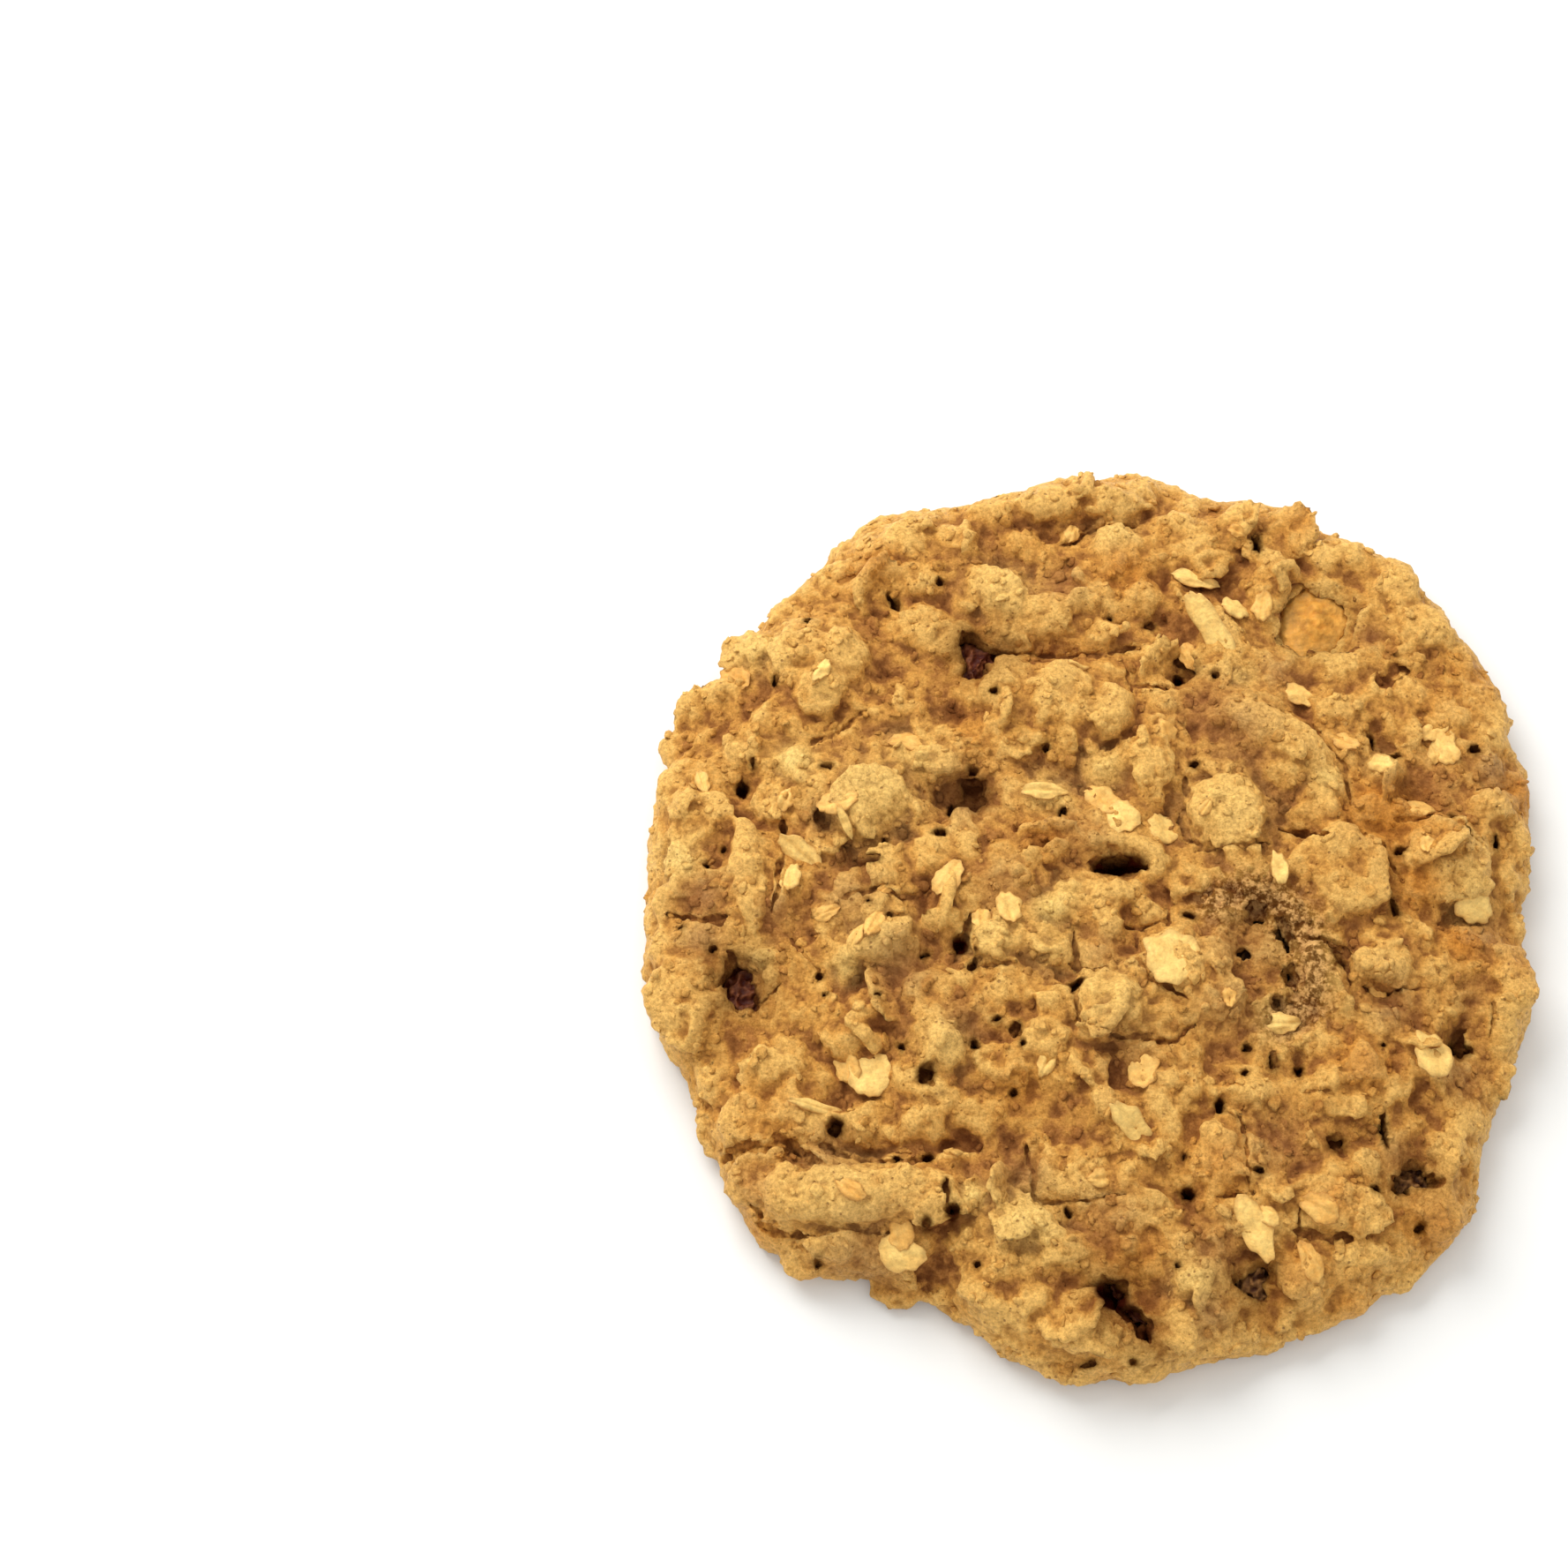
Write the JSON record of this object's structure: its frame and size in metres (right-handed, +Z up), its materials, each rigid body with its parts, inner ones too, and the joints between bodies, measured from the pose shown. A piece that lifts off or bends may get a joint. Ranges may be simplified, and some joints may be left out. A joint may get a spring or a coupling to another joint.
{
  "type": "oatmeal raisin cookie",
  "caption": "Flat round baked cookie of oaty dough with a rough, lumpy golden-brown top and dark raisins that peep out of pits in it; it lies flat on its underside.",
  "frame": {"origin": "middle of the cookie's box, on the flat underside", "axes": "+Z up out of the oaty top, +X to the right and +Y away from the viewer as the cookie lies"},
  "size_m": [0.0906, 0.097, 0.0111],
  "materials": {
    "baked_dough": "matt, rough and porous baked oat dough",
    "raisin": "dark, wrinkled, slightly glossy skin",
    "amber_raisin": "amber, slightly glossy skin"
  },
  "bodies": {
    "root": {"cookie": "baked_dough", "raisin_left": "raisin", "raisin_back": "raisin", "raisin_near": "raisin", "raisin_near_right": "raisin", "raisin_right": "raisin", "raisin_middle": "raisin", "raisin_amber": "amber_raisin"}
  },
  "joints": []
}
